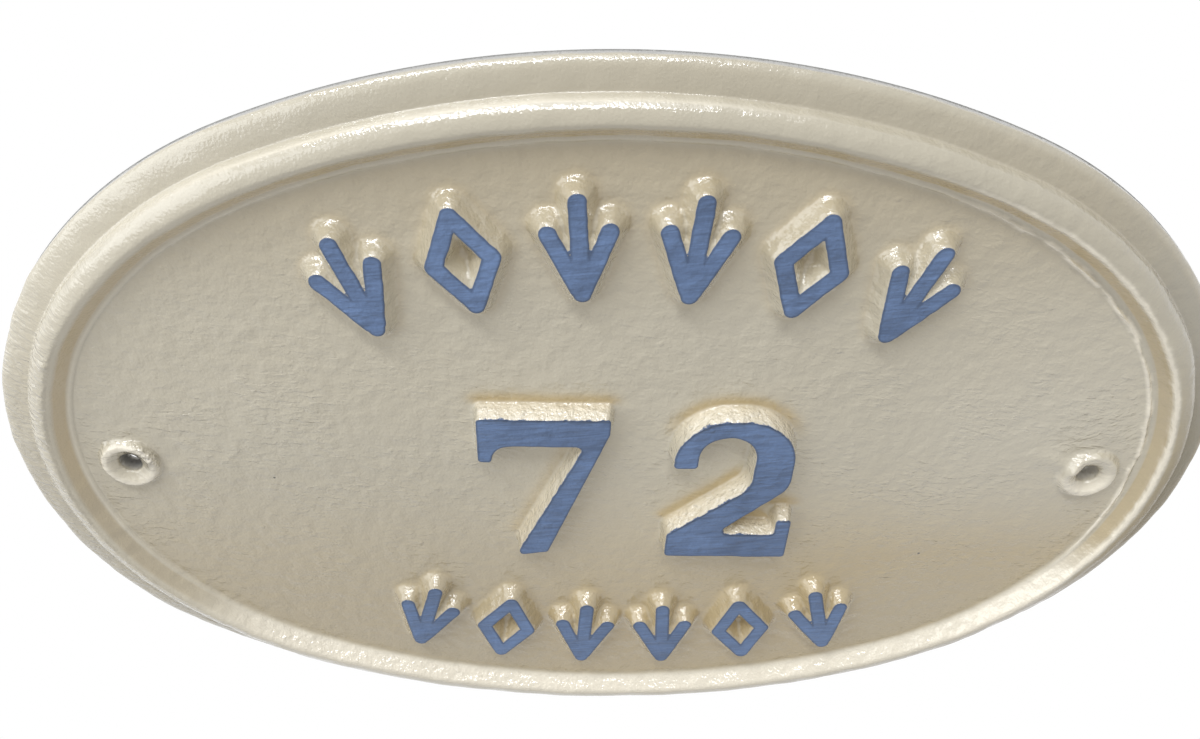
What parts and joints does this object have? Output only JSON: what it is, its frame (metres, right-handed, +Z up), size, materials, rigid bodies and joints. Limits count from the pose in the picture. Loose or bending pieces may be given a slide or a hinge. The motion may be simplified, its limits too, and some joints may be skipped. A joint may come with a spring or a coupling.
{
  "type": "house number plaque",
  "caption": "Oval cast wall plaque with a stepped, moulded rim, a raised number, two arcs of raised stroke ornament and raised screw bosses at its sides.",
  "frame": {"origin": "middle of the flat back face", "axes": "+Z up and +X to the right as the plaque hangs on a wall, the numbered face looks toward -Y, the back lies on the plane Y = 0"},
  "size_m": [0.28, 0.0092, 0.196],
  "materials": {
    "enamel": "thick glossy cream enamel over a sand casting, brushed blue paint on the raised faces"
  },
  "bodies": {
    "root": {"plaque": "enamel"}
  },
  "joints": []
}
